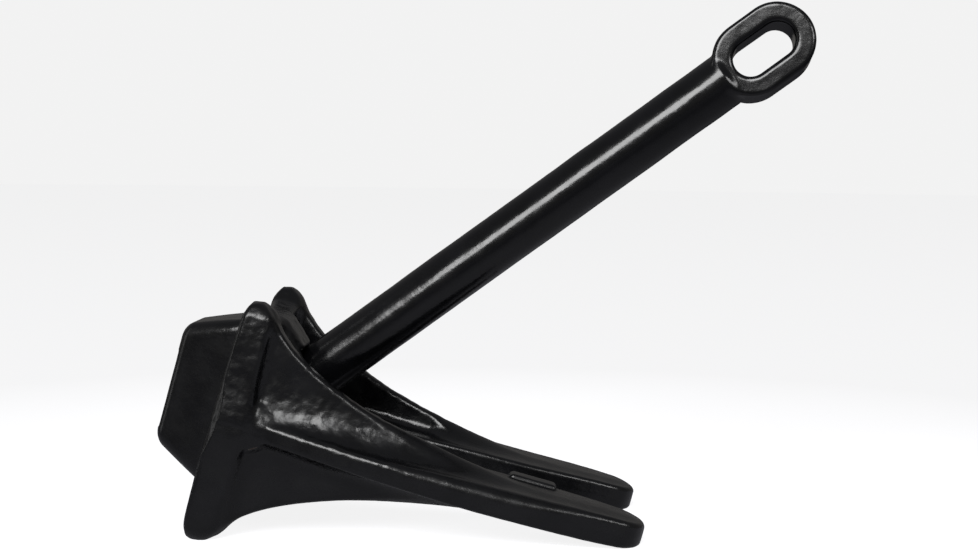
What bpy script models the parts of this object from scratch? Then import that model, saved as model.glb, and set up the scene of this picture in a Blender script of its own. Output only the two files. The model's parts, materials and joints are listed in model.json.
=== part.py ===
"""Navy anchor: an iron head with two flukes, a swinging shank with a slotted eye, both vinyl coated.

Head frame: origin at the middle of the palm plate, +X along the flukes, +Y across, +Z towards the
upper horns.  The head leans forward so that it stands on its lower horns and its fluke tips.
All lengths are metres, and every outline is given for the coated surface.
"""
import math

import bpy
import bmesh
from mathutils import Matrix, Vector

# ---------------------------------------------------------------- driving dimensions
COAT = 0.0020            # vinyl, from bare iron to its outside
GAP = 0.0003             # between touching pieces

SHANK_DIAMETER = 0.0288
PIVOT_X = 0.0090         # crown pin, ahead of the middle of the palm plate
SWING = math.radians(51.4)        # shank to either side of the flukes
HEAD_LEAN = math.radians(14.98)   # flukes below level when the head stands on the floor
EYE_REACH = 0.3537       # crown pin to the far end of the eye

BAR_CENTRE_Y = 0.0460    # side bars of the palm, which carry the four horns
HORN_HEIGHT = 0.0624
HORN_SET_BACK = 0.0009   # how far a horn's end sits behind the middle of its bar
PLATE_HALF_THICKNESS = 0.0072
NOTCH_HEIGHT = 0.0524    # middle of the palm plate, between two horns

BOX_BACK_X = -0.0417     # block behind the palm that houses the foot of the shank
MOUTH_X = 0.0240         # front of the cheeks on both sides of the shank
SLOT_HALF_WIDTH = SHANK_DIAMETER / 2 + 0.0009
FOOT_RADIUS = 0.0143
BOX_DOOR_HALF_HEIGHT = 0.0215     # open back, through which the shank was passed

PIN_RADIUS = 0.0064
HUB_RADIUS = 0.0135
HUB_REACH = 0.0575       # middle of the head to the end of the boss

FLUKE_TIP_X = 0.2168
FLUKE_BOW = 0.0010       # sag of a fluke between its root and its tip
INNER_FLARE = 0.4        # webs spread less on the side towards the shank

EYE_LENGTH = 0.0563
EYE_WIDTH = 0.0405
EYE_THICKNESS = 0.0245
EYE_HOLE_LENGTH = 0.0350
EYE_HOLE_WIDTH = 0.0190
EYE_TWIST = math.radians(-9.0)     # the eye was forged a little out of the swing plane
COATED_FROM = 0.0240     # the shank is coated from here on; its foot is bare


# ---------------------------------------------------------------- small tools
def material(name, colour, roughness, metallic):
    made = bpy.data.materials.new(name)
    made.use_nodes = True
    shader = made.node_tree.nodes["Principled BSDF"]
    shader.inputs["Base Color"].default_value = (*colour, 1.0)
    shader.inputs["Roughness"].default_value = roughness
    shader.inputs["Metallic"].default_value = metallic
    return made


def frame_empty(name, matrix):
    empty = bpy.data.objects.new(name, None)
    bpy.context.collection.objects.link(empty)
    empty.matrix_world = matrix
    return empty


def mesh_object(name, build):
    """A new object whose mesh is filled in by build(bm), with its faces turned outwards."""
    bm = bmesh.new()
    build(bm)
    bmesh.ops.recalc_face_normals(bm, faces=bm.faces)
    mesh = bpy.data.meshes.new(name)
    bm.to_mesh(mesh)
    bm.free()
    made = bpy.data.objects.new(name, mesh)
    bpy.context.collection.objects.link(made)
    return made


def loft(name, sections):
    """A closed solid through sections, which all have the same number of points."""
    def build(bm):
        rings = [[bm.verts.new(point) for point in section] for section in sections]
        for ring, following in zip(rings, rings[1:]):
            for index in range(len(ring)):
                after = (index + 1) % len(ring)
                bm.faces.new((ring[index], ring[after], following[after]))
                bm.faces.new((ring[index], following[after], following[index]))
        bm.faces.new(rings[0])
        bm.faces.new(rings[-1])
    return mesh_object(name, build)


def prism(name, outline, low_y, high_y):
    """An (x, z) outline carried across from low_y to high_y."""
    return loft(name, [[Vector((x, y, z)) for x, z in outline] for y in (low_y, high_y)])


def rounded_rectangle(half_a, half_b, radius, steps=2):
    """Points round a rectangle with rounded corners, as (a, b)."""
    points = []
    for quarter, (sign_a, sign_b) in enumerate(((1, 1), (-1, 1), (-1, -1), (1, -1))):
        for step in range(steps + 1):
            angle = (quarter + step / steps) * math.pi / 2
            a = sign_a * (half_a - radius) + radius * math.cos(angle)
            b = sign_b * (half_b - radius) + radius * math.sin(angle)
            points.append((a, b))
    return points


def arc(centre, radius, start, end, steps):
    """Points along an arc, as (x, z), angles in radians."""
    span = [start + (end - start) * step / steps for step in range(steps + 1)]
    return [(centre[0] + radius * math.cos(a), centre[1] + radius * math.sin(a)) for a in span]


def curve_through(knots, x):
    """Smooth value at x of a curve through (x, value) knots."""
    if x <= knots[0][0]:
        return knots[0][1]
    if x >= knots[-1][0]:
        return knots[-1][1]
    slopes = [(b[1] - a[1]) / (b[0] - a[0]) for a, b in zip(knots, knots[1:])]
    tangents = [slopes[0]] + [(a + b) / 2 for a, b in zip(slopes, slopes[1:])] + [slopes[-1]]
    for index, (low, high) in enumerate(zip(knots, knots[1:])):
        if x <= high[0]:
            break
    width = high[0] - low[0]
    t = (x - low[0]) / width
    return ((2 * t**3 - 3 * t**2 + 1) * low[1] + (t**3 - 2 * t**2 + t) * width * tangents[index]
            + (3 * t**2 - 2 * t**3) * high[1] + (t**3 - t**2) * width * tangents[index + 1])


def baked(made):
    """Apply the object's modifiers to its mesh."""
    graph = bpy.context.evaluated_depsgraph_get()
    mesh = bpy.data.meshes.new_from_object(made.evaluated_get(graph))
    made.modifiers.clear()
    old = made.data
    made.data = mesh
    bpy.data.meshes.remove(old)
    return made


def combine(base, others, operation):
    """Join others to base, or cut them from it, and delete them."""
    for other in others:
        modifier = base.modifiers.new(operation, "BOOLEAN")
        modifier.operation = operation
        modifier.solver = "EXACT"
        modifier.object = other
    baked(base)
    for other in others:
        mesh = other.data
        bpy.data.objects.remove(other)
        bpy.data.meshes.remove(mesh)
    return base


# ---------------------------------------------------------------- head
# Each outline below follows the head from the palm (x = 0) to the fluke tips.
WEB_HEIGHT = ((0.000, 0.0600), (0.008, 0.0548), (0.020, 0.0445), (0.032, 0.0370), (0.048, 0.0298),
              (0.066, 0.0235), (0.086, 0.0187), (0.106, 0.0149), (0.126, 0.0116), (0.146, 0.0094),
              (0.175, 0.0082), (0.205, 0.0074), (FLUKE_TIP_X, 0.0050))
WEB_CENTRE_Y = ((0.000, 0.0460), (0.060, 0.0455), (0.100, 0.0415), (0.140, 0.0405),
                (FLUKE_TIP_X, 0.0425))
WEB_HALF_THICKNESS = ((0.000, 0.0060), (0.030, 0.0046), (0.100, 0.0046), (0.140, 0.0080),
                      (0.175, 0.0100), (FLUKE_TIP_X, 0.0040))
EDGE_HALF_THICKNESS = ((0.000, 0.0052), (0.020, 0.0044), (0.080, 0.0048), (0.150, 0.0062),
                       (0.205, 0.0065), (FLUKE_TIP_X, 0.0040))
FLUKE_OUTER_Y = ((0.000, 0.0565), (0.020, 0.0582), (0.080, 0.0665), (0.105, 0.0661), (0.150, 0.0642),
                 (0.168, 0.0624), (0.190, 0.0596), (0.205, 0.0555), (0.2135, 0.0510),
                 (FLUKE_TIP_X, 0.0475))
FLUKE_INNER_Y = ((0.000, 0.0185), (0.014, 0.0185), (0.030, 0.0225), (0.060, 0.0213), (0.112, 0.0186),
                 (0.150, 0.0190), (0.166, 0.0206), (0.190, 0.0246), (0.205, 0.0292), (0.2135, 0.0340),
                 (FLUKE_TIP_X, 0.0378))
FLUKE_STATIONS = (-0.002, 0.008, 0.016, 0.025, 0.036, 0.052, 0.074, 0.098, 0.122, 0.145,
                  0.168, 0.188, 0.204, 0.2130, FLUKE_TIP_X)


def fluke_section(x, inset):
    """Cross-section of a fluke and its webs: an upright web standing on a flat blade."""
    centre = curve_through(WEB_CENTRE_Y, x)
    height = curve_through(WEB_HEIGHT, x) - inset
    thickness = curve_through(WEB_HALF_THICKNESS, x) - inset
    edge = curve_through(EDGE_HALF_THICKNESS, x) - inset
    reach_out = curve_through(FLUKE_OUTER_Y, x) - inset - centre
    reach_in = centre - curve_through(FLUKE_INNER_Y, x) - inset
    rise = height - edge

    def quarter(reach, flare):
        """One side of the web and blade; flare is how far the web spreads towards the blade."""
        wide = min(thickness, 0.45 * reach)
        soft = min(0.0022, 0.35 * (reach - wide))
        return ((0.45 * wide, height),
                (wide, height - min(0.0025, 0.4 * rise)),
                (wide + 0.10 * flare * (reach - wide), edge + 0.42 * rise),
                (wide + 0.34 * flare * (reach - wide), edge + 0.14 * rise),
                (reach - soft, edge),
                (reach, edge - min(soft, 0.5 * edge)))

    upper_out = [(centre + y, z) for y, z in quarter(reach_out, 1.0)]
    upper_in = [(centre - y, z) for y, z in quarter(reach_in, INNER_FLARE)]
    upper = upper_in[::-1] + upper_out
    lower = [(y, -z) for y, z in reversed(upper)]
    bow = FLUKE_BOW * math.sin(math.pi * max(x, 0.0) / FLUKE_TIP_X)
    return [Vector((x, y, z - bow)) for y, z in upper + lower]


def fluke(inset):
    stations = [min(x, FLUKE_TIP_X - inset) for x in FLUKE_STATIONS[:-1]] + [FLUKE_TIP_X - inset]
    sections = []
    for x, shape_x in zip(stations, FLUKE_STATIONS):
        section = fluke_section(shape_x, inset)
        for point in section:
            point.x = x
        sections.append(section)
    return loft("fluke", sections)


def palm_bar(inset):
    """One side bar of the palm, from its lower horn to its upper horn."""
    # height, half thickness along x, half width along y, corner radius
    half_profile = ((0.0000, 0.0092, 0.0120, 0.0030), (0.0200, 0.0087, 0.0116, 0.0030),
                    (0.0400, 0.0080, 0.0112, 0.0030), (0.0555, 0.0077, 0.0108, 0.0030),
                    (0.0602, 0.0060, 0.0090, 0.0030), (HORN_HEIGHT, 0.0032, 0.0062, 0.0027))
    upper = [(z, a, b, r) for z, a, b, r in half_profile]
    lower = [(-z, a, b, r) for z, a, b, r in reversed(half_profile[1:])]
    sections = []
    for z, half_x, half_y, radius in lower + upper:
        level = math.copysign(abs(z) - inset, z) if abs(z) > 0.045 else z
        ring = rounded_rectangle(half_x - inset, half_y - inset, radius - 0.6 * inset)
        back = HORN_SET_BACK * (z / HORN_HEIGHT) ** 2
        sections.append([Vector((x - back, BAR_CENTRE_Y + y, level)) for x, y in ring])
    return loft("palm_bar", sections)


def palm_web(inset):
    """The plate between the two side bars, dished between its horns."""
    half = PLATE_HALF_THICKNESS - inset
    top = []
    for step in range(9):
        y = -0.044 + 0.011 * step
        top.append((y, NOTCH_HEIGHT + 0.0062 * (abs(y) / 0.044) ** 3 - inset))
    outline = top + [(y, -z) for y, z in reversed(top)]
    return loft("palm_web", [[Vector((x, y, z)) for y, z in outline] for x in (-half, half)])


def housing(inset):
    """The block round the foot of the shank, from its back face to the mouth between the webs."""
    # x, half width, half height, corner radius, height of the middle
    profile = ((BOX_BACK_X, 0.0162, 0.0270, 0.0050, 0.0040),
               (BOX_BACK_X + 0.0014, 0.0182, 0.0312, 0.0060, 0.0038),
               (BOX_BACK_X + 0.0050, 0.0199, 0.0339, 0.0065, 0.0038),
               (-0.0080, 0.0250, 0.0466, 0.0080, 0.0019),
               (0.0080, 0.0215, 0.0524, 0.0080, 0.0),
               (0.0130, 0.0208, 0.0488, 0.0080, 0.0),
               (MOUTH_X - 0.0020, 0.0200, 0.0404, 0.0070, 0.0),
               (MOUTH_X, 0.0190, 0.0375, 0.0060, 0.0))
    sections = []
    for index, (x, half_y, half_z, radius, middle) in enumerate(profile):
        if index < 3:
            x += inset
        if index >= len(profile) - 2:
            x -= inset
        ring = rounded_rectangle(half_y - inset, half_z - inset, radius - 0.6 * inset)
        sections.append([Vector((x, y, z + middle)) for y, z in ring])
    return loft("housing", sections)


def hub(inset):
    """The thick boss round the crown pin, right across the head."""
    ring = arc((PIVOT_X, 0.0), HUB_RADIUS - inset, 0.0, 2 * math.pi, 16)[:-1]
    reach = HUB_REACH - inset
    return prism("hub", ring, -reach, reach)


def gate_pad(inset):
    """The stub left where the casting was fed, on the inner edge of one fluke."""
    profile = ((0.1410, 0.0046), (0.1435, 0.0074), (0.1490, 0.0090), (0.1600, 0.0094),
               (0.1660, 0.0088), (0.1705, 0.0056))
    top = [(x, height - inset) for x, height in profile]
    outline = top + [(profile[-1][0], -0.0020 + inset), (profile[0][0], -0.0020 + inset)]
    return prism("gate_pad", outline, -0.0310 + inset, -0.0200 - inset)


def mirrored(made):
    """A copy of a piece on the other side of the head."""
    def build(bm):
        bm.from_mesh(made.data)
        bmesh.ops.scale(bm, vec=(1.0, -1.0, 1.0), verts=bm.verts)
        bmesh.ops.reverse_faces(bm, faces=bm.faces)
    return mesh_object(made.name + "_mirrored", build)


def head_solid(name, inset):
    """The whole outside of the head, drawn in by inset from the coated surface."""
    base = housing(inset)
    base.name = name
    bar = palm_bar(inset)
    blade = fluke(inset)
    parts = [palm_web(inset), bar, mirrored(bar), blade, mirrored(blade), hub(inset), gate_pad(inset)]
    return combine(base, parts, "UNION")


def swing_slot():
    """The space the shank sweeps, and the open back through which it was passed."""
    half = SLOT_HALF_WIDTH
    reach = 0.080
    side = SHANK_DIAMETER / 2 + 0.0006
    up = Vector((math.cos(SWING), math.sin(SWING)))
    normal = Vector((-up.y, up.x))
    start = Vector((PIVOT_X, 0.0))
    far_high = start + up * reach + normal * side
    back_angle = math.atan2(normal.y, normal.x)
    tail = arc((PIVOT_X, 0.0), side + 0.0006, back_angle, 2 * math.pi - back_angle, 10)
    outline = [(far_high.x, far_high.y)] + tail + [(far_high.x, -far_high.y)]
    fan = prism("fan", outline, -half, half)
    door = prism("door", [(BOX_BACK_X - 0.010, -BOX_DOOR_HALF_HEIGHT), (PIVOT_X, -SHANK_DIAMETER / 2),
                          (PIVOT_X, SHANK_DIAMETER / 2), (BOX_BACK_X - 0.010, BOX_DOOR_HALF_HEIGHT)],
                 -half, half)
    return combine(fan, [door], "UNION")


def build_head(head_frame, iron, vinyl):
    casting = head_solid("head_casting", COAT)
    bore = prism("bore", arc((PIVOT_X, 0.0), PIN_RADIUS + GAP, 0.0, 2 * math.pi, 24)[:-1], -0.1, 0.1)
    combine(casting, [swing_slot(), bore], "DIFFERENCE")
    coating = head_solid("head_coating", 0.0)
    combine(coating, [head_solid("inside", COAT - GAP), swing_slot()], "DIFFERENCE")
    for made, finish in ((casting, iron), (coating, vinyl)):
        made.data.materials.clear()
        made.data.materials.append(finish)
        made.parent = head_frame


# ---------------------------------------------------------------- shank
def bar_solid(name, radius, low_x, high_x, sides=24):
    rings = []
    for x in (low_x, high_x):
        turn = [2 * math.pi * (step + 0.5) / sides for step in range(sides)]
        rings.append([Vector((x, radius * math.cos(a), radius * math.sin(a))) for a in turn])
    return loft(name, rings)


def stadium(length, width, centre_x, steps=10):
    """Outline of a slot with round ends, as (x, z)."""
    radius = width / 2
    offset = length / 2 - radius
    right = arc((centre_x + offset, 0.0), radius, -math.pi / 2, math.pi / 2, steps)
    left = arc((centre_x - offset, 0.0), radius, math.pi / 2, 3 * math.pi / 2, steps)
    return right + left


def eye_solid(name, inset):
    """The ring of the eye with softened edges, turned a little about the shank."""
    centre = EYE_REACH - EYE_LENGTH / 2
    half = EYE_THICKNESS / 2 - inset
    soft = 0.0022
    sections = []
    for y, draw in ((-half, soft), (-half + soft, 0.0), (half - soft, 0.0), (half, soft)):
        outline = stadium(EYE_LENGTH - 2 * (inset + draw), EYE_WIDTH - 2 * (inset + draw), centre)
        sections.append([Vector((x, y, z)) for x, z in outline])
    ring = loft(name, sections)
    holes = []
    for y, draw in ((-half - 0.001, soft + 0.001), (-half + soft, 0.0), (half - soft, 0.0),
                    (half + 0.001, soft + 0.001)):
        outline = stadium(EYE_HOLE_LENGTH + 2 * (inset + draw), EYE_HOLE_WIDTH + 2 * (inset + draw), centre)
        holes.append([Vector((x, y, z)) for x, z in outline])
    combine(ring, [loft("eye_hole", holes)], "DIFFERENCE")
    ring.data.transform(Matrix.Rotation(EYE_TWIST, 4, "X"))
    return ring


def shank_solid(name, inset, low_x):
    bar_end = EYE_REACH - EYE_LENGTH + (EYE_LENGTH - EYE_HOLE_LENGTH) / 4
    bar = bar_solid(name, SHANK_DIAMETER / 2 - inset, low_x, bar_end)
    return combine(bar, [eye_solid("eye", inset)], "UNION")


def build_shank(shank_frame, iron, vinyl):
    forging = shank_solid("shank", COAT, 0.0)
    foot_outline = arc((0.0, 0.0), FOOT_RADIUS, math.pi / 2, 3 * math.pi / 2, 12)
    foot_outline += [(COATED_FROM - 0.004, -FOOT_RADIUS), (COATED_FROM - 0.001, -SHANK_DIAMETER / 2 + COAT),
                     (COATED_FROM - 0.001, SHANK_DIAMETER / 2 - COAT), (COATED_FROM - 0.004, FOOT_RADIUS)]
    foot_half = SHANK_DIAMETER / 2 - COAT
    foot = prism("foot", foot_outline, -foot_half, foot_half)
    combine(forging, [foot], "UNION")
    bore = prism("bore", arc((0.0, 0.0), PIN_RADIUS + GAP, 0.0, 2 * math.pi, 24)[:-1], -0.1, 0.1)
    combine(forging, [bore], "DIFFERENCE")
    coating = shank_solid("shank_coating", 0.0, COATED_FROM)
    combine(coating, [shank_solid("inside", COAT - GAP, COATED_FROM - 0.010)], "DIFFERENCE")
    for made, finish in ((forging, iron), (coating, vinyl)):
        made.data.materials.clear()
        made.data.materials.append(finish)
        made.parent = shank_frame


# ---------------------------------------------------------------- crown pin
def build_pin(head_frame, steel):
    half_length = HUB_REACH - COAT - GAP
    soft = 0.0008
    sections = []
    for y, radius in ((-half_length, PIN_RADIUS - soft), (-half_length + soft, PIN_RADIUS),
                      (half_length - soft, PIN_RADIUS), (half_length, PIN_RADIUS - soft)):
        ring = arc((PIVOT_X, 0.0), radius, 0.0, 2 * math.pi, 24)[:-1]
        sections.append([Vector((x, y, z)) for x, z in ring])
    pin = loft("crown_pin", sections)
    pin.data.materials.append(steel)
    pin.parent = head_frame


# ---------------------------------------------------------------- assembly
def stand_on_floor(frames):
    """Move the frames so that the anchor's box is centred on the origin, with its base at Z = 0."""
    bpy.context.view_layer.update()
    solids = [made for made in bpy.data.objects if made.type == "MESH"]
    corners = [made.matrix_world @ vertex.co for made in solids for vertex in made.data.vertices]
    low = [min(corner[axis] for corner in corners) for axis in range(3)]
    high = [max(corner[axis] for corner in corners) for axis in range(3)]
    shift = Vector((-(low[0] + high[0]) / 2, -(low[1] + high[1]) / 2, -low[2]))
    for frame in frames:
        frame.location += shift


def main():
    for old in list(bpy.data.objects):
        bpy.data.objects.remove(old)
    iron = material("cast_iron", (0.09, 0.09, 0.09), 0.75, 0.9)
    vinyl = material("black_vinyl", (0.010, 0.011, 0.012), 0.28, 0.0)
    steel = material("pin_steel", (0.42, 0.42, 0.43), 0.35, 1.0)

    lean = Matrix.Rotation(HEAD_LEAN, 4, "Y")
    head_frame = frame_empty("head_frame", lean)
    raise_shank = Matrix.Rotation(HEAD_LEAN - SWING, 4, "Y")
    pivot = lean @ Vector((PIVOT_X, 0.0, 0.0))
    shank_frame = frame_empty("shank_frame", Matrix.Translation(pivot) @ raise_shank)

    build_head(head_frame, iron, vinyl)
    build_pin(head_frame, steel)
    build_shank(shank_frame, iron, vinyl)
    stand_on_floor((head_frame, shank_frame))


main()
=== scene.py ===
import json
import math

import bpy
import numpy as np
from mathutils import Euler, Matrix, Vector, noise

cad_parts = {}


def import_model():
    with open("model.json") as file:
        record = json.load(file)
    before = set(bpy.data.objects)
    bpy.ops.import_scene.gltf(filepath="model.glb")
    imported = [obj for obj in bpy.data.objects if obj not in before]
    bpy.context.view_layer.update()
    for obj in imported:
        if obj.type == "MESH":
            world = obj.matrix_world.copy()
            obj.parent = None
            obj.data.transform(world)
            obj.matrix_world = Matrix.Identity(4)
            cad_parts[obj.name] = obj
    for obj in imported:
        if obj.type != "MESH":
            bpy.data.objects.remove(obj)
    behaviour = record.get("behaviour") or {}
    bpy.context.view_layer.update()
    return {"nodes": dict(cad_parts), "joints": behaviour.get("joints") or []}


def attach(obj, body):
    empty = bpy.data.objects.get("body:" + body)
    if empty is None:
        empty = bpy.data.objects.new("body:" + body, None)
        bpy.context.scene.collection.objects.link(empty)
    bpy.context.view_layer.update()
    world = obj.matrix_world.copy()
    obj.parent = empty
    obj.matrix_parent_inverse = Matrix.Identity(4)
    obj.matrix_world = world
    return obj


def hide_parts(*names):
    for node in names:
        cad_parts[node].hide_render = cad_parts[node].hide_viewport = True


# Looks of the navy anchor.  Its two vinyl skins, over the cast head and over the shank, are smooth
# implicit surfaces: every part is a distance field, negative inside it.  The fields are joined with
# fillets, as thick dip coating joins them, and the surface where the joined field is zero becomes a
# mesh, which gets a little hammered unevenness.
# Metres throughout.  Head frame: X along the flukes, Y across, Z to the upper horns, with its origin
# in the middle of the side bars.  Shank frame: X along the shank from the crown pin's axis.

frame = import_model()
nodes = frame["nodes"]
pivot = Vector(frame["joints"][0]["pos_m"])

HEAD_LEAN = math.radians(14.98)      # flukes below level
SWING = math.radians(51.4)           # shank to either side of the flukes
PIVOT_X = 0.0090                     # crown pin in the head frame
HEAD_TO_WORLD = (Matrix.Translation(pivot) @ Matrix.Rotation(HEAD_LEAN, 4, "Y")
                 @ Matrix.Translation((-PIVOT_X, 0.0, 0.0)))
SHANK_TO_WORLD = Matrix.Translation(pivot) @ Matrix.Rotation(HEAD_LEAN - SWING, 4, "Y")


# ---------------------------------------------------------------- fields
def soft_union(a, b, blend):
    """Smaller of two distances, rounded over blend where they meet."""
    share = np.clip(0.5 + 0.5 * (b - a) / blend, 0.0, 1.0)
    return b + (a - b) * share - blend * share * (1.0 - share)


def soft_cut(a, b, blend):
    """Field a with field b taken away."""
    return -soft_union(-a, b, blend)


def filleted(a, b, from_a, from_b):
    """Smaller of two distances, with an oval fillet in the corner, from_a and from_b wide."""
    a, b = a / from_a, b / from_b
    corner = np.hypot(np.maximum(1.0 - a, 0.0), np.maximum(1.0 - b, 0.0))
    return from_b * (np.maximum(np.minimum(a, b), 1.0) - corner)


def rounded_corner(radius, *sides):
    """Where all of the sides are negative, with their common edges rounded."""
    drawn = [side + radius for side in sides]
    outside = np.sqrt(sum(np.maximum(side, 0.0) ** 2 for side in drawn))
    inside = drawn[0]
    for side in drawn[1:]:
        inside = np.maximum(inside, side)
    return outside + np.minimum(inside, 0.0) - radius


def curve(knots, x):
    """Smooth curve through (x, value) knots, level beyond them, and its length for each unit of x."""
    at = np.array([knot[0] for knot in knots])
    value = np.array([knot[1] for knot in knots])
    slopes = np.diff(value) / np.diff(at)
    tangent = np.concatenate(([slopes[0]], (slopes[:-1] + slopes[1:]) / 2, [slopes[-1]]))
    x = np.clip(x, at[0], at[-1])
    low = np.clip(np.searchsorted(at, x, side="right") - 1, 0, len(at) - 2)
    width = at[low + 1] - at[low]
    t = (x - at[low]) / width
    found = ((2 * t**3 - 3 * t**2 + 1) * value[low] + (t**3 - 2 * t**2 + t) * width * tangent[low]
             + (3 * t**2 - 2 * t**3) * value[low + 1] + (t**3 - t**2) * width * tangent[low + 1])
    slope = ((6 * t**2 - 6 * t) * (value[low] - value[low + 1]) / width
             + (3 * t**2 - 4 * t + 1) * tangent[low] + (3 * t**2 - 2 * t) * tangent[low + 1])
    return found, np.sqrt(1.0 + slope**2)


# ---------------------------------------------------------------- head
# Each list of pairs is a curve: a place along the part, and the size there.  EDGE is the radius of a
# part's edges, HALF is half of its thickness or width, and BLEND is how wide a joint is softened.

# side bars and their four horns: sizes against height above or below the middle
BAR_CENTRE_Y = 0.0460
HORN_HEIGHT = 0.0624                 # lower horns; the upper ones are a little shorter
UPPER_HORN_HEIGHT = 0.0610
HORN_SET_BACK = 0.0013               # the lower horns' ends lean back by this much
BAR_EDGE = 0.0026
HORN_END_EDGE = 0.0068
BAR_HALF_X = ((0.0, 0.0092), (0.020, 0.0087), (0.040, 0.0080), (0.0540, 0.0074), (HORN_HEIGHT, 0.0056))
BAR_HALF_Y = ((0.0, 0.0124), (0.0040, 0.0122), (0.0540, 0.0102), (HORN_HEIGHT, 0.0080))

# flukes: blades with an upright web above and below, sizes against distance along the fluke
FLUKE_FROM_X = -0.0040
FLUKE_TIP_X = 0.2166
FLUKE_BOW = 0.0010                   # how far the middle of a fluke hangs below its ends
TIP_RADIUS = 0.0132
WEB_SHORT_OF_TIP = 0.0040
WEB_HEIGHT = ((0.000, 0.0600), (0.008, 0.0548), (0.020, 0.0445), (0.032, 0.0370), (0.048, 0.0298),
              (0.066, 0.0235), (0.086, 0.0187), (0.106, 0.0149), (0.126, 0.0114), (0.146, 0.0088),
              (0.175, 0.0076), (0.205, 0.0070), (FLUKE_TIP_X, 0.0050))
WEB_CENTRE_Y = ((0.000, 0.0460), (0.060, 0.0455), (0.100, 0.0415), (0.140, 0.0405), (FLUKE_TIP_X, 0.0425))
WEB_HALF = ((0.000, 0.0060), (0.030, 0.0046), (0.100, 0.0046), (0.140, 0.0080), (0.175, 0.0100),
            (FLUKE_TIP_X, 0.0060))
WEB_EDGE = 0.0026
WEB_EDGE_SOFTENING = 0.0030          # added to a web's edge for each unit of its flank's taper
BLADE_HALF = ((0.000, 0.0056), (0.020, 0.0052), (0.080, 0.0056), (0.120, 0.0068), (0.150, 0.0071),
              (0.205, 0.0070), (FLUKE_TIP_X, 0.0060))
BLADE_OUTER_Y = ((0.000, 0.0565), (0.020, 0.0582), (0.080, 0.0665), (0.105, 0.0661), (0.150, 0.0642),
                 (0.168, 0.0624), (0.190, 0.0596), (FLUKE_TIP_X, 0.0560))
BLADE_INNER_Y = ((0.000, 0.0185), (0.014, 0.0185), (0.030, 0.0225), (0.060, 0.0213), (0.112, 0.0186),
                 (0.150, 0.0190), (0.166, 0.0206), (0.190, 0.0246), (FLUKE_TIP_X, 0.0290))
OUTER_EDGE = ((0.000, 0.0030), (0.080, 0.0036), (0.100, 0.0048), (0.130, 0.0060), (0.150, 0.0060),
              (0.180, 0.0038), (0.200, 0.0028), (FLUKE_TIP_X, 0.0028))
OTHER_EDGES = 0.0024
SIDE_CHANGE = 0.006                  # width over which a web's inner side turns into its outer side
TOP_CHANGE = 0.002                   # height over which a blade's upper edge turns into its lower edge
OUTER_TAPER = ((0.040, 0.0), (0.065, 0.08), (0.085, 0.36), (0.105, 0.62), (0.130, 0.80))
INNER_TAPER = ((0.096, 0.0), (0.108, 0.60), (0.130, 0.80))

# fillets between blade and web: wide on the outer side, even on the inner side
OUTER_FILLET = ((0.030, 0.0160), (0.050, 0.0135), (0.080, 0.0080), (0.100, 0.0060), (0.130, 0.0050))
UPPER_FILLET_RISE = 1.5              # tallest upper outer fillet, for each unit of the widest one
LOWER_FILLET = 0.0120                # tallest lower outer fillet
INNER_FILLET = 0.0050
FILLET_SHARE = 0.95                  # how much of the blade's width or the web's height it may take
LEAST_FILLET = 0.003
LEAST_RISE = 0.0015                  # least height of a web over its blade, for its fillet

# plate between the side bars, with a dished notch between its horns
PLATE_HALF = 0.0072
PLATE_EDGE = 0.0034
NOTCH_HEIGHT = 0.0524
NOTCH_RISE = 0.0062                  # how much higher the notch is at its sides
NOTCH_HALF_WIDTH = 0.044

# block round the foot of the shank, sizes against distance along the flukes
BOX_BACK_X = -0.0421
MOUTH_X = 0.0240
BOX_BACK_EDGE = 0.0046
MOUTH_EDGE = 0.0022
BOX_HALF_Y = ((BOX_BACK_X, 0.0182), (-0.0370, 0.0196), (-0.0080, 0.0250), (0.0080, 0.0215),
              (MOUTH_X, 0.0196))
BOX_HALF_Z = ((BOX_BACK_X, 0.0318), (-0.0370, 0.0343), (-0.0080, 0.0466), (0.0080, 0.0524),
              (0.0130, 0.0488), (0.0220, 0.0404), (MOUTH_X, 0.0386))
BOX_MIDDLE_Z = ((BOX_BACK_X, 0.0038), (-0.0080, 0.0019), (0.0080, 0.0))
BOX_CORNER = ((-0.0080, 0.0064), (0.0080, 0.0105))

# boss round the crown pin
HUB_RADIUS = 0.0135
HUB_REACH = 0.0562
HUB_EDGE = 0.0060

# stub where the casting was fed, on the near fluke's inner edge: it narrows towards its top
GATE_CENTRE = (0.1565, -0.0256, 0.0040)
GATE_HALF = (0.0140, 0.0053, 0.0052)
GATE_EDGE = 0.0016
GATE_NARROWS_FROM = 0.0050
GATE_NARROWING = 0.5

# slot that the shank swings in
SHANK_RADIUS = 0.0144
SLOT_HALF = 0.0150                   # a little inside the iron's own slot, so that the skin lines it
SLOT_SIDE = 0.0148
DOOR_SLOPE = 0.116                   # how fast the open back of the block widens towards the back

# how wide each joint of the head is softened
PALM_BLEND = 0.0045
ROOT_FILLET = 0.0050                 # where the flukes leave the palm, and twice that below them
ROOT_FILLET_DEPTH = 0.020            # how far below them it has grown to that
BOX_BLEND = 0.0035
HUB_BLEND = 0.0030
GATE_BLEND = 0.0012
SLOT_BLEND = 0.0016


def bar_field(x, y, z):
    """The two side bars of the palm with their four horns."""
    half_x, _ = curve(BAR_HALF_X, np.abs(z))
    half_y, _ = curve(BAR_HALF_Y, np.abs(z))
    x = x + HORN_SET_BACK * (np.minimum(z, 0.0) / HORN_HEIGHT) ** 2
    sides = rounded_corner(BAR_EDGE, np.abs(x) - half_x, np.abs(np.abs(y) - BAR_CENTRE_Y) - half_y)
    ends = np.maximum(z - UPPER_HORN_HEIGHT, -z - HORN_HEIGHT)
    return rounded_corner(HORN_END_EDGE, sides, ends)


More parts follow.
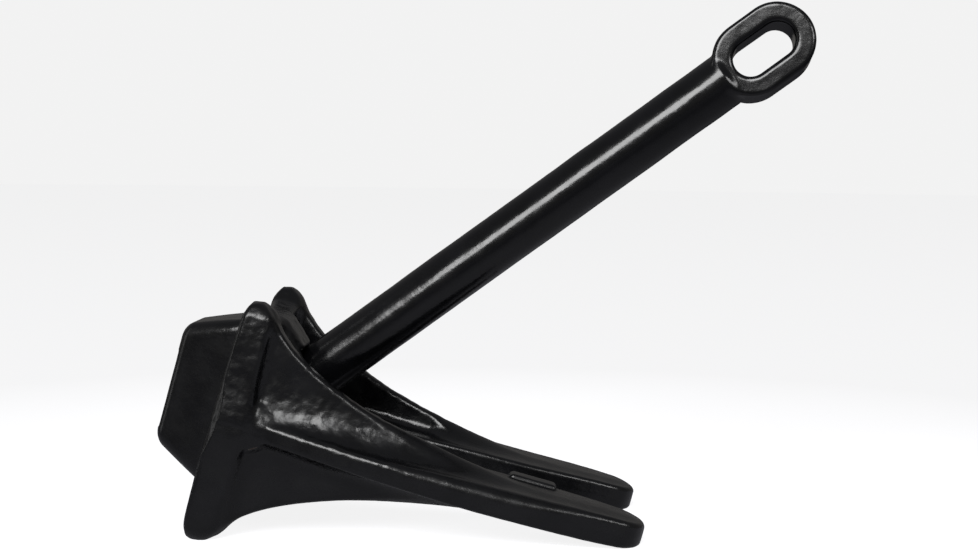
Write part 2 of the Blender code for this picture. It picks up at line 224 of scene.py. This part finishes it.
def blade_field(x, out, z, outer_side):
    """One fluke's flat blade with its rounded tip.  Its upper outer edge is softer than the others."""
    outer, outer_slope = curve(BLADE_OUTER_Y, x)
    inner, inner_slope = curve(BLADE_INNER_Y, x)
    thickness, _ = curve(BLADE_HALF, x)
    across = np.maximum((out - outer) / outer_slope, (inner - out) / inner_slope)
    plan = rounded_corner(TIP_RADIUS, across, x - FLUKE_TIP_X)
    softer = outer_side * np.clip(z / TOP_CHANGE + 0.5, 0.0, 1.0)
    edge, _ = curve(OUTER_EDGE, x)
    edge = OTHER_EDGES * (1.0 - softer) + edge * softer
    return rounded_corner(edge, plan, np.abs(z) - thickness)


def web_field(x, out, z, outer_side):
    """The upright webs above and below one fluke's blade, with flanks that lean in towards the tip."""
    centre, _ = curve(WEB_CENTRE_Y, x)
    half, _ = curve(WEB_HALF, x)
    height, height_slope = curve(WEB_HEIGHT, x)
    inner_taper, _ = curve(INNER_TAPER, x)
    taper, _ = curve(OUTER_TAPER, x)
    taper = inner_taper * (1.0 - outer_side) + taper * outer_side
    flank = (np.abs(out - centre) - half - taper * (height - np.abs(z))) / np.hypot(1.0, taper)
    return rounded_corner(WEB_EDGE + WEB_EDGE_SOFTENING * taper, flank, (np.abs(z) - height) / height_slope,
                          x - FLUKE_TIP_X + WEB_SHORT_OF_TIP)


def fluke_fillets(x, z, outer_side):
    """How high on the web, and how wide on the blade, the fillet between them is."""
    outer, _ = curve(BLADE_OUTER_Y, x)
    centre, _ = curve(WEB_CENTRE_Y, x)
    half, _ = curve(WEB_HALF, x)
    height, _ = curve(WEB_HEIGHT, x)
    thickness, _ = curve(BLADE_HALF, x)
    widest, _ = curve(OUTER_FILLET, x)
    rise = np.maximum(height - thickness, LEAST_RISE)
    tallest = np.where(z > 0.0, UPPER_FILLET_RISE * widest, LOWER_FILLET)
    outer_high = np.minimum(FILLET_SHARE * rise, tallest)
    outer_wide = np.clip(FILLET_SHARE * (outer - centre - half), LEAST_FILLET, widest)
    high = np.minimum(INNER_FILLET, rise) * (1.0 - outer_side) + outer_high * outer_side
    wide = INNER_FILLET * (1.0 - outer_side) + outer_wide * outer_side
    return high, wide


def fluke_field(x, y, z):
    """Both flukes, each a blade with its webs."""
    out = np.abs(y)
    z = z + FLUKE_BOW * np.sin(np.pi * np.clip(x, 0.0, FLUKE_TIP_X) / FLUKE_TIP_X)
    centre, _ = curve(WEB_CENTRE_Y, x)
    outer_side = np.clip((out - centre) / SIDE_CHANGE + 0.5, 0.0, 1.0)
    high, wide = fluke_fillets(x, z, outer_side)
    fluke = filleted(blade_field(x, out, z, outer_side), web_field(x, out, z, outer_side), high, wide)
    return np.maximum(fluke, FLUKE_FROM_X - x)


def plate_field(x, y, z):
    """The plate between the side bars, dished between its horns."""
    notch = NOTCH_HEIGHT + NOTCH_RISE * (np.minimum(np.abs(y), BAR_CENTRE_Y) / NOTCH_HALF_WIDTH) ** 3
    return rounded_corner(PLATE_EDGE, np.abs(x) - PLATE_HALF, np.abs(z) - notch, np.abs(y) - BAR_CENTRE_Y)


def box_field(x, y, z):
    """The block round the foot of the shank."""
    half_y, slope_y = curve(BOX_HALF_Y, x)
    half_z, slope_z = curve(BOX_HALF_Z, x)
    middle, _ = curve(BOX_MIDDLE_Z, x)
    corner, _ = curve(BOX_CORNER, x)
    sides = rounded_corner(corner, (np.abs(y) - half_y) / slope_y, (np.abs(z - middle) - half_z) / slope_z)
    back = rounded_corner(BOX_BACK_EDGE, sides, BOX_BACK_X - x)
    return rounded_corner(MOUTH_EDGE, back, x - MOUTH_X)


def hub_field(x, y, z):
    """The boss round the crown pin."""
    return rounded_corner(HUB_EDGE, np.hypot(x - PIVOT_X, z) - HUB_RADIUS, np.abs(y) - HUB_REACH)


def gate_field(x, y, z):
    """The stub where the casting was fed."""
    ends, sides, faces = (np.abs(place - middle) - half
                          for place, middle, half in zip((x, y, z), GATE_CENTRE, GATE_HALF))
    ends = ends + GATE_NARROWING * np.maximum(z - GATE_NARROWS_FROM, 0.0)
    return rounded_corner(GATE_EDGE, ends, sides, faces)


def slot_field(x, y, z):
    """The space the shank sweeps, and the open back of the block."""
    along, up = x - PIVOT_X, np.abs(z)
    reach = np.hypot(along, up)
    beyond = np.arctan2(up, along) - SWING
    wedge = np.where(beyond > math.pi / 2, reach, reach * np.sin(np.minimum(beyond, math.pi / 2)))
    fan = wedge - SLOT_SIDE
    door = rounded_corner(0.0, along, up - SHANK_RADIUS + DOOR_SLOPE * along)
    return rounded_corner(0.0, np.minimum(fan, door), np.abs(y) - SLOT_HALF)


def head_field(x, y, z):
    """The whole coated head, in the head frame."""
    palm = soft_union(bar_field(x, y, z), plate_field(x, y, z), PALM_BLEND)
    corner = ROOT_FILLET + ROOT_FILLET * np.clip(-z / ROOT_FILLET_DEPTH, 0.0, 1.0)
    body = filleted(palm, fluke_field(x, y, z), corner, corner)
    body = soft_union(body, box_field(x, y, z), BOX_BLEND)
    body = soft_union(body, hub_field(x, y, z), HUB_BLEND)
    body = soft_union(body, gate_field(x, y, z), GATE_BLEND)
    return soft_cut(body, slot_field(x, y, z), SLOT_BLEND)


# ---------------------------------------------------------------- shank
SHANK_FROM = 0.0240                  # where the vinyl begins
FOOT_EDGE = 0.0012
EYE_REACH = 0.3537
EYE_LENGTH = 0.0563
EYE_WIDTH = 0.0405
EYE_THICKNESS = 0.0245
EYE_HOLE_LENGTH = 0.0350
EYE_HOLE_WIDTH = 0.0185
EYE_EDGE = 0.0022
EYE_HOLE_BLEND = 0.0030
EYE_TWIST = math.radians(-9.0)       # the eye is forged a little out of line with the swing
EYE_CENTRE = EYE_REACH - EYE_LENGTH / 2
BAR_END = EYE_REACH - EYE_LENGTH + (EYE_LENGTH - EYE_HOLE_LENGTH) / 4
BAR_END_EDGE = 0.0030
NECK_BLEND = 0.0032


def stadium_field(x, z, length, width):
    """A straight slot shape with half-round ends, round the middle of the eye."""
    offset = (length - width) / 2
    return np.hypot(np.maximum(np.abs(x - EYE_CENTRE) - offset, 0.0), z) - width / 2


def shank_field(x, y, z):
    """The whole coated shank, in the shank frame: a round bar with an eye at its end."""
    round_bar = rounded_corner(BAR_END_EDGE, np.hypot(y, z) - SHANK_RADIUS, x - BAR_END)
    bar = rounded_corner(FOOT_EDGE, round_bar, SHANK_FROM - x)
    turned_y = y * math.cos(EYE_TWIST) + z * math.sin(EYE_TWIST)
    turned_z = z * math.cos(EYE_TWIST) - y * math.sin(EYE_TWIST)
    faces = np.abs(turned_y) - EYE_THICKNESS / 2
    ring = rounded_corner(EYE_EDGE, stadium_field(x, turned_z, EYE_LENGTH, EYE_WIDTH), faces)
    hole = stadium_field(x, turned_z, EYE_HOLE_LENGTH, EYE_HOLE_WIDTH)
    return soft_cut(soft_union(bar, ring, NECK_BLEND), hole, EYE_HOLE_BLEND)


# ---------------------------------------------------------------- field to mesh
SKIN_CELL = 0.0008                   # spacing of the lattice that the skins are found on
SLAB = 16                            # layers of the lattice worked out at once, to save memory
GRADIENT_STEP = 0.00015
LEAST_GRADIENT = 0.05                # least squared gradient that a point's move is worked out with
LONGEST_MOVE = 0.0006
SEED_SHIFT = (7.31, 3.17, 5.23)      # moves the noise to a fresh place for each seed


def surface_net(field, low, high, cell):
    """Points and four-sided faces of the surface where field is zero, inside a box.

    Each lattice cell that the surface crosses gets one point, the mean of the places where its
    edges are cut, and each cut lattice edge gets one face, between the four cells round it."""
    axes = [np.arange(a, b + cell, cell) for a, b in zip(low, high)]
    shape = [len(axis) for axis in axes]
    values = np.empty(shape, np.float32)
    for first in range(0, shape[0], SLAB):
        part = slice(first, first + SLAB)
        x, y, z = np.meshgrid(axes[0][part], axes[1], axes[2], indexing="ij")
        values[part] = field(x, y, z)
    inside = values < 0.0
    corners = [(i, j, k) for i in (0, 1) for j in (0, 1) for k in (0, 1)]

    def shifted(lattice, corner):
        """The value at the given corner of every cell."""
        return lattice[tuple(slice(c, n - 1 + c) for c, n in zip(corner, shape))]

    filled = sum(shifted(inside, corner).astype(np.int8) for corner in corners)
    crossed = (filled > 0) & (filled < 8)
    cells = np.argwhere(crossed)
    number = np.full(crossed.shape, -1, np.int64)
    number[crossed] = np.arange(len(cells))
    at_corner = {corner: shifted(values, corner)[crossed] for corner in corners}
    total, count = np.zeros((len(cells), 3)), np.zeros(len(cells))
    for a in corners:
        for axis in range(3):
            if a[axis]:
                continue
            b = tuple(1 if other == axis else a[other] for other in range(3))
            start, end = at_corner[a], at_corner[b]
            cut = (start < 0.0) != (end < 0.0)
            share = start[cut] / (start[cut] - end[cut])
            place = np.tile(np.array(a, float), (len(share), 1))
            place[:, axis] = share
            total[cut] += place
            count[cut] += 1.0
    points = (cells + total / count[:, None]) * cell + np.array([axis[0] for axis in axes])

    faces = []
    for axis in range(3):
        after, last = (axis + 1) % 3, (axis + 2) % 3
        here = [slice(1, n - 1) for n in shape]
        there = list(here)
        here[axis], there[axis] = slice(0, shape[axis] - 1), slice(1, shape[axis])
        a, b = inside[tuple(here)], inside[tuple(there)]
        for leaving in (True, False):
            spot = np.argwhere((a & ~b) if leaving else (~a & b))
            spot[:, after] += 1
            spot[:, last] += 1
            ring = []
            for back_after, back_last in ((1, 1), (0, 1), (0, 0), (1, 0)):
                corner = spot.copy()
                corner[:, after] -= back_after
                corner[:, last] -= back_last
                ring.append(number[corner[:, 0], corner[:, 1], corner[:, 2]])
            faces.append(np.stack(ring if leaving else ring[::-1], axis=1))
    return points, np.concatenate(faces)


def gradient(field, points):
    """How fast the field grows along X, Y and Z at each point."""
    slopes = []
    for axis in range(3):
        ahead, behind = points.copy(), points.copy()
        ahead[:, axis] += GRADIENT_STEP
        behind[:, axis] -= GRADIENT_STEP
        slopes.append((field(*ahead.T) - field(*behind.T)) / (2 * GRADIENT_STEP))
    return np.stack(slopes, axis=1)


def settled(field, points, rounds=3):
    """Points moved onto the surface, and the surface's outward directions there."""
    for _ in range(rounds):
        slope = gradient(field, points)
        size = np.maximum((slope**2).sum(axis=1), LEAST_GRADIENT)
        move = np.clip(field(*points.T) / size, -LONGEST_MOVE, LONGEST_MOVE)
        points = points - slope * move[:, None]
    slope = gradient(field, points)
    return points, slope / np.linalg.norm(slope, axis=1)[:, None]


def ripple(points, size, seed):
    """Smooth noise, between about -1 and 1, over lumps of the given size."""
    shift = Vector([seed * step for step in SEED_SHIFT])
    return np.array([noise.noise(Vector(point) / size + shift) for point in points])


def skin(name, field, low, high, lumps, lumpiness, to_world):
    """A mesh object of the field's surface between two corners, low and high, of its frame.

    lumps gives the hammered unevenness as (size, depth, seed) each, and lumpiness(x, y, z) says how
    much of it each place has."""
    points, faces = surface_net(field, low, high, SKIN_CELL)
    points, outward = settled(field, points)
    depth = sum(amount * ripple(points, size, seed) for size, amount, seed in lumps)
    depth *= lumpiness(*points.T)
    points = points + outward * depth[:, None]
    mesh = bpy.data.meshes.new(name)
    mesh.from_pydata(points.tolist(), [], faces.tolist())
    mesh.transform(to_world)
    mesh.shade_smooth()
    made = bpy.data.objects.new(name, mesh)
    bpy.context.scene.collection.objects.link(made)
    return made


def ramp(value, start, width):
    """0 up to start, 1 from start + width on, and even in between."""
    return np.clip((value - start) / width, 0.0, 1.0)


SMOOTHEST_HEAD = 0.25                # share of the lumps that the smoothest places keep
SMOOTHEST_SHANK = 0.3


def head_lumpiness(x, y, z):
    """Rough on the upper side, from the bars to about halfway along the flukes, smoother elsewhere."""
    upper = ramp(z, start=-0.004, width=0.010)
    rough = upper * ramp(x, start=-0.012, width=0.006) * ramp(-x, start=-0.130, width=0.050)
    return SMOOTHEST_HEAD + (1.0 - SMOOTHEST_HEAD) * rough


def shank_lumpiness(x, y, z):
    """Smoother at the foot than along the rest of the shank."""
    return np.maximum(ramp(x, start=SHANK_FROM, width=0.030), SMOOTHEST_SHANK)


# ---------------------------------------------------------------- materials
NOISE_LOW, NOISE_HIGH = 0.3, 0.7     # between these a noise node's value mostly lies


def node_material(name):
    """A new material with its nodes, its links and its surface shader."""
    made = bpy.data.materials.new(name)
    made.use_nodes = True
    return made, made.node_tree.nodes, made.node_tree.links, made.node_tree.nodes["Principled BSDF"]


def add_noise(nodes_, links, source, scale, detail=3.0, roughness=0.5):
    """Noise laid over the object, with scale lumps to the metre."""
    made = nodes_.new("ShaderNodeTexNoise")
    made.inputs["Scale"].default_value = scale
    made.inputs["Detail"].default_value = detail
    made.inputs["Roughness"].default_value = roughness
    links.new(source.outputs["Object"], made.inputs["Vector"])
    return made.outputs["Fac"]


def add_uneven(nodes_, links, noise_value, low, high, socket):
    """A shader socket that wanders between low and high with the noise."""
    made = nodes_.new("ShaderNodeMapRange")
    made.inputs["From Min"].default_value = NOISE_LOW
    made.inputs["From Max"].default_value = NOISE_HIGH
    made.inputs["To Min"].default_value = low
    made.inputs["To Max"].default_value = high
    links.new(noise_value, made.inputs["Value"])
    links.new(made.outputs["Result"], socket)


def add_tones(nodes_, links, value, dark, light, socket):
    """A colour socket that goes from dark to light, each (value, colour), as value grows."""
    made = nodes_.new("ShaderNodeValToRGB")
    for stop, (position, colour) in zip(made.color_ramp.elements, (dark, light)):
        stop.position = position
        stop.color = (*colour, 1.0)
    links.new(value, made.inputs["Fac"])
    links.new(made.outputs["Color"], socket)


def add_bump(nodes_, links, height, strength, distance):
    """A bump node over the given height."""
    made = nodes_.new("ShaderNodeBump")
    made.inputs["Strength"].default_value = strength
    made.inputs["Distance"].default_value = distance
    links.new(height, made.inputs["Height"])
    return made


def vinyl_material(name, smoothest, roughest, pitting):
    """Thick glossy dip coating: near black, faintly blue, with an uneven skin."""
    made, nodes_, links, shader = node_material(name)
    place = nodes_.new("ShaderNodeTexCoord")
    tone = add_noise(nodes_, links, place, 55.0)
    add_tones(nodes_, links, tone, (0.35, (0.0012, 0.0013, 0.0016)), (0.68, (0.0028, 0.0029, 0.0036)),
              shader.inputs["Base Color"])
    gloss = add_noise(nodes_, links, place, 90.0, detail=4.0)
    add_uneven(nodes_, links, gloss, smoothest, roughest, shader.inputs["Roughness"])
    shader.inputs["IOR"].default_value = 1.48
    swells = add_noise(nodes_, links, place, 260.0, detail=2.0)
    pits = add_noise(nodes_, links, place, 650.0, detail=2.0)
    broad = add_bump(nodes_, links, swells, strength=0.20, distance=0.0003)
    fine = add_bump(nodes_, links, pits, strength=0.60, distance=pitting)
    links.new(broad.outputs["Normal"], fine.inputs["Normal"])
    links.new(fine.outputs["Normal"], shader.inputs["Normal"])
    return made


def iron_material():
    """Rough grey cast iron with a little rust in its pits."""
    made, nodes_, links, shader = node_material("cast_iron_look")
    place = nodes_.new("ShaderNodeTexCoord")
    tone = add_noise(nodes_, links, place, 120.0, detail=5.0, roughness=0.6)
    add_tones(nodes_, links, tone, (0.38, (0.050, 0.034, 0.026)), (0.66, (0.090, 0.088, 0.086)),
              shader.inputs["Base Color"])
    rough = add_noise(nodes_, links, place, 300.0, detail=4.0)
    add_uneven(nodes_, links, rough, 0.55, 0.80, shader.inputs["Roughness"])
    shader.inputs["Metallic"].default_value = 0.6
    grain = add_noise(nodes_, links, place, 700.0, detail=4.0, roughness=0.6)
    bump = add_bump(nodes_, links, grain, strength=0.5, distance=0.0003)
    links.new(bump.outputs["Normal"], shader.inputs["Normal"])
    return made


def steel_material():
    """Turned steel of the crown pin."""
    made, nodes_, links, shader = node_material("pin_steel_look")
    place = nodes_.new("ShaderNodeTexCoord")
    tone = add_noise(nodes_, links, place, 200.0)
    add_tones(nodes_, links, tone, (0.0, (0.30, 0.30, 0.31)), (1.0, (0.48, 0.48, 0.49)),
              shader.inputs["Base Color"])
    rough = add_noise(nodes_, links, place, 500.0)
    add_uneven(nodes_, links, rough, 0.28, 0.45, shader.inputs["Roughness"])
    shader.inputs["Metallic"].default_value = 1.0
    return made


# ---------------------------------------------------------------- the object
HEAD_BOX = ((-0.0455, -0.0705, -0.0660), (0.2205, 0.0705, 0.0660))      # the skins lie inside these
SHANK_BOX = ((0.0205, -0.0180, -0.0240), (0.3570, 0.0180, 0.0240))
HEAD_LUMPS = ((0.0085, 0.00022, 1), (0.0040, 0.00018, 2), (0.0022, 0.00009, 5))     # size, depth, seed
SHANK_LUMPS = ((0.0180, 0.00016, 3), (0.0045, 0.00004, 4))

head_look = vinyl_material("black_vinyl_over_casting", smoothest=0.22, roughest=0.32, pitting=0.00014)
shank_look = vinyl_material("black_vinyl_over_bar", smoothest=0.15, roughest=0.24, pitting=0.00005)
head_vinyl = skin("head_vinyl", head_field, *HEAD_BOX, HEAD_LUMPS, head_lumpiness, HEAD_TO_WORLD)
shank_vinyl = skin("shank_vinyl", shank_field, *SHANK_BOX, SHANK_LUMPS, shank_lumpiness, SHANK_TO_WORLD)
for piece, look, body, stood_for in ((head_vinyl, head_look, "head", "head_coating"),
                                     (shank_vinyl, shank_look, "shank", "shank_coating")):
    piece.data.materials.append(look)
    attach(piece, body)
    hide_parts(stood_for)

iron_look, steel_look = iron_material(), steel_material()
for name, look in (("head_casting", iron_look), ("shank", iron_look), ("crown_pin", steel_look)):
    for slot in nodes[name].material_slots:
        slot.material = look


# ---------------------------------------------------------------- stage
FLOOR_RADIUS = 12.0
FLOOR_SIDES = 96
FLOOR_GLOW = 0.86                    # how pale the floor shows, whatever light falls on it
FLOOR_PAINTED_POOL_SCALE = 1.6                     # the floor's painted pool of light, paler under the anchor and darker further out, has a radius of 1 over this


def floor_material():
    """Shows evenly pale, and throws little light back, so that the black stays black.  Its colour is paler
    in a round patch under the anchor, a painted pool of light, and darker further out.
    """
    made, nodes_, links, shader = node_material("pale_floor")
    place = nodes_.new("ShaderNodeTexCoord")
    spread = nodes_.new("ShaderNodeMapping")
    spread.inputs["Scale"].default_value = (FLOOR_PAINTED_POOL_SCALE, FLOOR_PAINTED_POOL_SCALE, FLOOR_PAINTED_POOL_SCALE)
    links.new(place.outputs["Object"], spread.inputs["Vector"])
    # painted pool of light: the floor's colour is paler round the anchor and fades darker further out
    near = nodes_.new("ShaderNodeTexGradient")
    near.gradient_type = "SPHERICAL"
    links.new(spread.outputs["Vector"], near.inputs["Vector"])
    add_tones(nodes_, links, near.outputs["Fac"], (0.0, (0.10, 0.10, 0.11)), (0.70, (0.39, 0.39, 0.42)),
              shader.inputs["Base Color"])
    shader.inputs["Roughness"].default_value = 0.9
    shader.inputs["Specular IOR Level"].default_value = 0.0
    shader.inputs["Emission Color"].default_value = (1.0, 1.0, 1.0, 1.0)
    rays = nodes_.new("ShaderNodeLightPath")
    pale = nodes_.new("ShaderNodeMath")
    pale.operation = "MULTIPLY"
    pale.inputs[1].default_value = FLOOR_GLOW
    links.new(rays.outputs["Is Camera Ray"], pale.inputs[0])
    links.new(pale.outputs["Value"], shader.inputs["Emission Strength"])
    grain = add_noise(nodes_, links, place, 400.0)
    bump = add_bump(nodes_, links, grain, strength=0.1, distance=0.0005)
    links.new(bump.outputs["Normal"], shader.inputs["Normal"])
    return made


def floor():
    """A wide, plain disc."""
    mesh = bpy.data.meshes.new("floor")
    turns = np.linspace(0.0, 2 * math.pi, FLOOR_SIDES + 1)[:-1]
    rim = [(FLOOR_RADIUS * math.cos(turn), FLOOR_RADIUS * math.sin(turn), 0.0) for turn in turns]
    mesh.from_pydata(rim, [], [list(range(FLOOR_SIDES))])
    mesh.materials.append(floor_material())
    disc = bpy.data.objects.new("floor", mesh)
    bpy.context.scene.collection.objects.link(disc)


MIDDLE = Vector((0.0, 0.0, 0.10))    # what the lights face


def softbox(name, azimuth, elevation, roll, distance, spread, radiance):
    """A soft oblong light that faces the anchor from a distance in metres.

    azimuth is from straight in front towards the right, roll turns the light about its own axis, and
    spread is how wide and how tall the anchor sees it, all in degrees.  radiance is how bright it is."""
    a, e = math.radians(azimuth), math.radians(elevation)
    towards = Vector((math.sin(a) * math.cos(e), -math.cos(a) * math.cos(e), math.sin(e)))
    data = bpy.data.lights.new(name, "AREA")
    data.shape = "RECTANGLE"
    data.size, data.size_y = (2 * distance * math.tan(math.radians(angle) / 2) for angle in spread)
    data.energy = radiance * math.pi * data.size * data.size_y
    made = bpy.data.objects.new(name, data)
    made.location = MIDDLE + towards * distance
    turned = (-towards).to_track_quat("-Z", "Y").to_matrix() @ Matrix.Rotation(math.radians(roll), 3, "Z")
    made.rotation_euler = turned.to_euler()
    bpy.context.scene.collection.objects.link(made)


def world():
    """A plain grey room that lights the anchor, seen by the camera as a pale backdrop."""
    made = bpy.data.worlds.new("studio")
    made.use_nodes = True
    nodes_, links = made.node_tree.nodes, made.node_tree.links
    backdrop = nodes_.new("ShaderNodeBackground")
    backdrop.inputs["Color"].default_value = (0.89, 0.89, 0.89, 1.0)
    room = nodes_["Background"]
    place = nodes_.new("ShaderNodeTexCoord")
    split = nodes_.new("ShaderNodeSeparateXYZ")
    links.new(place.outputs["Generated"], split.inputs["Vector"])
    add_tones(nodes_, links, split.outputs["Z"], (0.10, (0.15, 0.145, 0.14)), (0.95, (0.16, 0.16, 0.17)),
              room.inputs["Color"])
    rays = nodes_.new("ShaderNodeLightPath")
    either = nodes_.new("ShaderNodeMixShader")
    links.new(rays.outputs["Is Camera Ray"], either.inputs["Fac"])
    links.new(room.outputs["Background"], either.inputs[1])
    links.new(backdrop.outputs["Background"], either.inputs[2])
    links.new(either.outputs["Shader"], nodes_["World Output"].inputs["Surface"])
    bpy.context.scene.world = made


CAMERA_PLACE = Vector((0.1127, -0.7971, 0.1649))      # in the head frame, like its turn
CAMERA_TURN = Euler([math.radians(angle) for angle in (85.381, -15.655, 1.785)])


def camera():
    """Nearly level, square to the shank's swing, about 0.8 m in front of the anchor."""
    data = bpy.data.cameras.new("camera")
    data.lens, data.sensor_width = 55.2, 36.0
    data.clip_start, data.clip_end = 0.01, 50.0
    made = bpy.data.objects.new("camera", data)
    made.matrix_world = HEAD_TO_WORLD @ Matrix.LocRotScale(CAMERA_PLACE, CAMERA_TURN, None)
    bpy.context.scene.collection.objects.link(made)
    bpy.context.scene.camera = made


floor()
world()
camera()
softbox("left_softbox", azimuth=-14.0, elevation=32.5, roll=28.0, distance=4.0,
        spread=(32.0, 20.5), radiance=13.0)
softbox("right_softbox", azimuth=39.0, elevation=25.0, roll=0.0, distance=4.0,
        spread=(22.0, 13.0), radiance=8.0)
softbox("left_strip", azimuth=-82.0, elevation=10.0, roll=0.0, distance=1.6,
        spread=(10.0, 60.0), radiance=1.4)
bpy.context.scene.view_settings.view_transform = "Standard"
